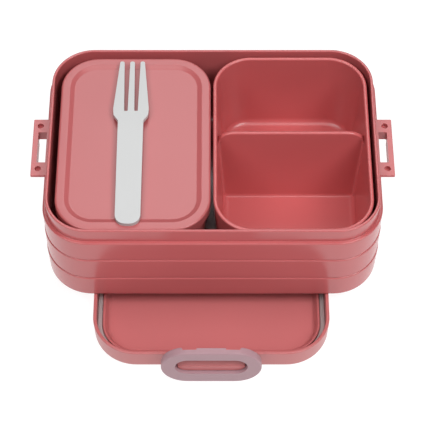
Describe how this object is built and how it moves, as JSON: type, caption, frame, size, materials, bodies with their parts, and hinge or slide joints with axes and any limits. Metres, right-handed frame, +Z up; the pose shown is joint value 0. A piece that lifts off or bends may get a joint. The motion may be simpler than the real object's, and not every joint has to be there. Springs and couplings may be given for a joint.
{
  "type": "bento lunch box",
  "caption": "Opened bento lunch box: banded body with slotted ears on its upturned sealed lid with ring clips, holding a lidded inner box, a divided tray and a fork.",
  "frame": {"origin": "bottom middle of the whole object, on the table; the upturned lid's own middle is 0.7 mm to the left of it", "axes": "+X along the outer body towards the tray's side, +Y away from the front along the upturned lid, +Z up"},
  "size_m": [0.185, 0.1888, 0.0691],
  "materials": {
    "body_plastic": "glossy dusty pink moulded plastic",
    "lid_plastic": "satin dusty pink moulded plastic",
    "insert_plastic": "satin dusty pink moulded plastic",
    "clip_plastic": "matt pale pink moulded plastic",
    "seal": "soft grey silicone",
    "fork_plastic": "satin pale grey-white moulded plastic"
  },
  "bodies": {
    "lid": {"outer_lid": "lid_plastic", "lid_seal": "seal"},
    "front_clip": {"clip_front": "clip_plastic"},
    "rear_clip": {"clip_rear": "clip_plastic"},
    "body": {"outer_body": "body_plastic"},
    "inner_box": {"inner_box": "insert_plastic"},
    "inner_lid": {"inner_lid": "insert_plastic"},
    "fork": {"fork": "fork_plastic"},
    "tray": {"divided_tray": "insert_plastic"}
  },
  "joints": [
    {"name": "front_clip_hinge", "type": "hinge", "parent": "lid", "child": "front_clip", "pos_m": [-0.0007, -0.0903, 0.0043], "axis": [1, 0, 0], "range_deg": [0, 90]},
    {"name": "rear_clip_hinge", "type": "hinge", "parent": "lid", "child": "rear_clip", "pos_m": [-0.0007, 0.0903, 0.0043], "axis": [-1, 0, 0], "range_deg": [0, 90]},
    {"name": "body_lift", "type": "slide", "parent": "lid", "child": "body", "axis": [0, 0, 1], "range_m": [0, 0.05]},
    {"name": "inner_box_lift", "type": "slide", "parent": "body", "child": "inner_box", "axis": [0, 0, 1], "range_m": [0, 0.07]},
    {"name": "inner_lid_lift", "type": "slide", "parent": "inner_box", "child": "inner_lid", "axis": [0, 0, 1], "range_m": [0, 0.03]},
    {"name": "fork_lift", "type": "slide", "parent": "inner_lid", "child": "fork", "axis": [0, 0, 1], "range_m": [0, 0.03]},
    {"name": "tray_lift", "type": "slide", "parent": "body", "child": "tray", "axis": [0, 0, 1], "range_m": [0, 0.07]}
  ]
}
